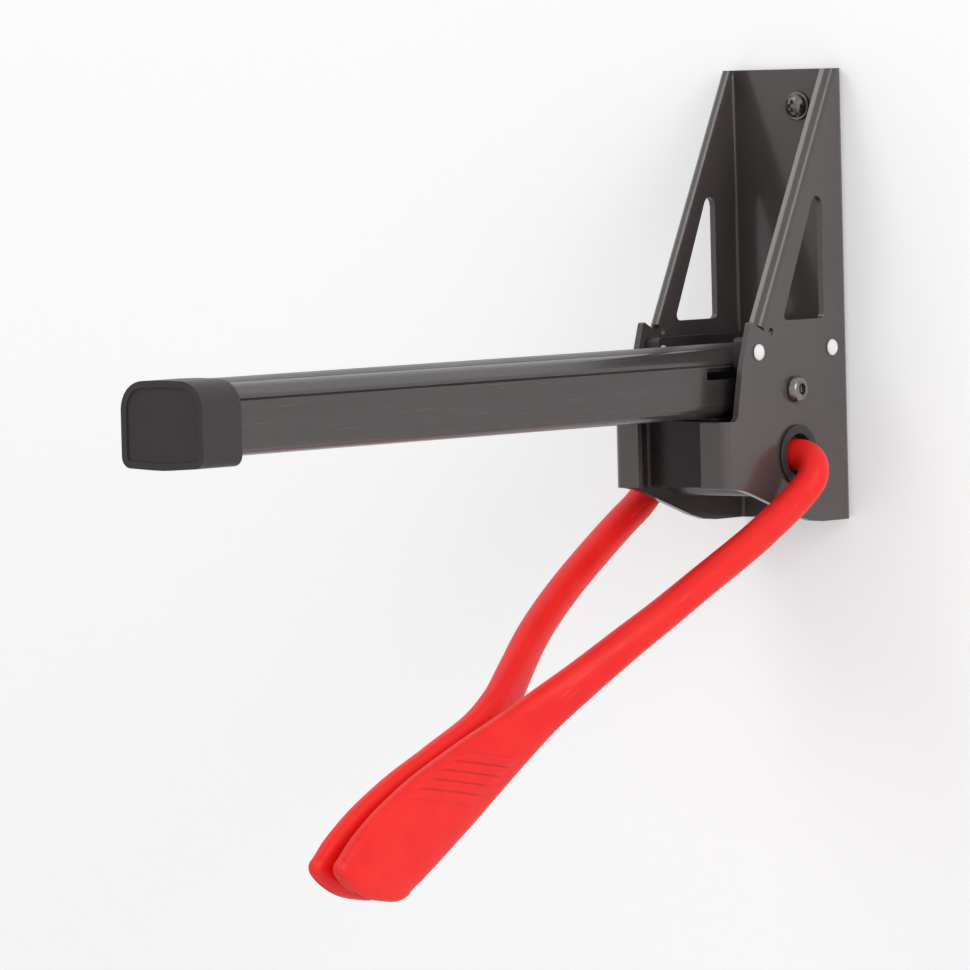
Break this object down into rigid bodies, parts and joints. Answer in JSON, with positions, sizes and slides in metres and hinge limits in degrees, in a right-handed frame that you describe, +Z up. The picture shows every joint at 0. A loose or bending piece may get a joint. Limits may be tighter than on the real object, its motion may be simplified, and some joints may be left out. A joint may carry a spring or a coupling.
{
  "type": "wall bike holder",
  "caption": "Wall bracket with a folding padded arm that carries a bicycle, and a pair of soft red arms below it that swivel on an axle and steady the frame.",
  "frame": {"origin": "on the wall face of the back plate, on the bracket's middle plane, level with the arm's pivot", "axes": "+Z up, +Y into the wall, -Y out into the room along the arm, +X to the right seen from the wall's room side"},
  "size_m": [0.1056, 0.4963, 0.3616],
  "materials": {
    "bracket_paint": "gloss black powder coat",
    "bar_paint": "black anodised, satin",
    "dark_plastic": "matte dark grey",
    "block_plastic": "semi-gloss black",
    "dark_rubber": "matte black",
    "red_rubber": "matte red",
    "white_plastic": "smooth white",
    "pale_bush": "off-white",
    "dark_steel": "blackened steel",
    "bright_steel": "bright zinc"
  },
  "bodies": {
    "bracket": {"grommet_left": "dark_plastic", "grommet_right": "dark_plastic", "guide_rivet_left_front": "white_plastic", "guide_rivet_left_rear": "white_plastic", "guide_rivet_right_front": "white_plastic", "guide_rivet_right_rear": "white_plastic", "pivot_bolt": "dark_steel", "pivot_nut": "dark_steel", "pivot_sleeve": "bright_steel", "pivot_washer": "dark_steel", "side_guide_left": "dark_plastic", "side_guide_right": "dark_plastic", "stop_block": "block_plastic", "stop_pad": "dark_rubber", "wall_bracket": "bracket_paint", "wall_screw_lower": "dark_steel", "wall_screw_upper": "dark_steel", "wall_washer_lower": "dark_steel", "wall_washer_upper": "dark_steel"},
    "arm": {"arm_beam": "bar_paint", "arm_pad": "dark_rubber", "end_cap": "dark_plastic", "root_plug": "dark_plastic", "pivot_bush_right": "pale_bush", "pivot_bush_left": "pale_bush"},
    "steady_arms": {"steady_arm_right": "red_rubber", "steady_arm_left": "red_rubber", "steady_axle": "bright_steel", "axle_spacer": "dark_plastic"}
  },
  "joints": [
    {"name": "arm_fold", "type": "hinge", "parent": "bracket", "child": "arm", "pos_m": [0, -0.044, 0], "axis": [-1, 0, 0], "range_deg": [0, 90]},
    {"name": "steady_arms_swivel", "type": "hinge", "parent": "bracket", "child": "steady_arms", "pos_m": [0, -0.0434, -0.0304], "axis": [-1, 0, 0], "range_deg": [-58, 29]}
  ]
}
